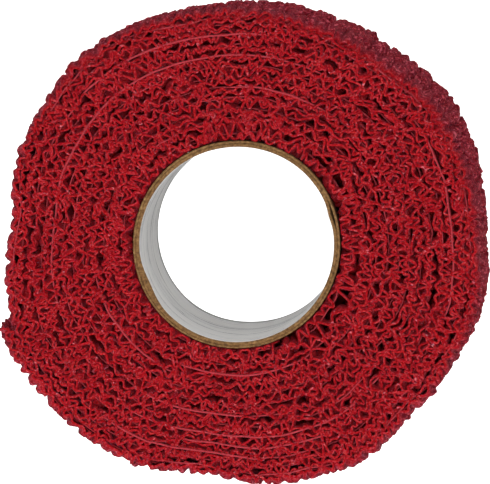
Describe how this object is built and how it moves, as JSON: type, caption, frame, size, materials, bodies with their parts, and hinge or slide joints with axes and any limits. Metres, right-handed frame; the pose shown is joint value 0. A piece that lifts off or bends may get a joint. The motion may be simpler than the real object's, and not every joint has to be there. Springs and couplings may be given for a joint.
{
  "type": "hand wrap",
  "caption": "Roll of crinkled, elastic, self-sticking hand wrap on a paper core, with a free tail that peels off the roll.",
  "frame": {"origin": "centre of the core's bore at the lower end face of the roll, which lies on its end", "axes": "+Z along the axis of the core, up out of the bore; +X and +Y across the roll, with the tip of the tail at 200 degrees from +X"},
  "size_m": [0.0629, 0.0637, 0.05],
  "materials": {
    "crepe_web": "matte",
    "elastic_yarn": "matte",
    "kraft_paper": "matte",
    "liner_paper": "satin",
    "hot_melt": "satin"
  },
  "bodies": {
    "roll": {"core_liner": "liner_paper", "core_inner_ply": "kraft_paper", "core_outer_ply": "kraft_paper", "core_tack_strip": "hot_melt", "wrap_inner_web": "crepe_web", "wrap_outer_web": "crepe_web", "elastic_yarn_01": "elastic_yarn", "elastic_yarn_02": "elastic_yarn", "elastic_yarn_03": "elastic_yarn", "elastic_yarn_04": "elastic_yarn", "elastic_yarn_05": "elastic_yarn", "elastic_yarn_06": "elastic_yarn", "elastic_yarn_07": "elastic_yarn", "elastic_yarn_08": "elastic_yarn", "elastic_yarn_09": "elastic_yarn", "elastic_yarn_10": "elastic_yarn", "elastic_yarn_11": "elastic_yarn", "elastic_yarn_12": "elastic_yarn", "elastic_yarn_13": "elastic_yarn", "elastic_yarn_14": "elastic_yarn", "elastic_yarn_15": "elastic_yarn", "elastic_yarn_16": "elastic_yarn", "elastic_yarn_17": "elastic_yarn", "elastic_yarn_18": "elastic_yarn", "elastic_yarn_19": "elastic_yarn", "elastic_yarn_20": "elastic_yarn"},
    "tail_root": {"tail_root_inner_web": "crepe_web", "tail_root_outer_web": "crepe_web", "tail_root_yarns": "elastic_yarn"},
    "tail_middle": {"tail_middle_inner_web": "crepe_web", "tail_middle_outer_web": "crepe_web", "tail_middle_yarns": "elastic_yarn"},
    "tail_end": {"tail_end_inner_web": "crepe_web", "tail_end_outer_web": "crepe_web", "tail_end_yarns": "elastic_yarn"}
  },
  "joints": [
    {"name": "tail_root_peel", "type": "hinge", "parent": "roll", "child": "tail_root", "pos_m": [-0.0139, -0.02914, 0.025], "axis": [0, 0, 1], "range_deg": [0, 35]},
    {"name": "tail_middle_peel", "type": "hinge", "parent": "tail_root", "child": "tail_middle", "pos_m": [-0.021, -0.0246, 0.025], "axis": [0, 0, 1], "range_deg": [0, 35]},
    {"name": "tail_end_peel", "type": "hinge", "parent": "tail_middle", "child": "tail_end", "pos_m": [-0.02669, -0.01838, 0.025], "axis": [0, 0, 1], "range_deg": [0, 35]}
  ],
  "couplings": [
    {"joint": "tail_middle_peel", "follows": "tail_root_peel", "ratio": 1},
    {"joint": "tail_end_peel", "follows": "tail_root_peel", "ratio": 1}
  ]
}
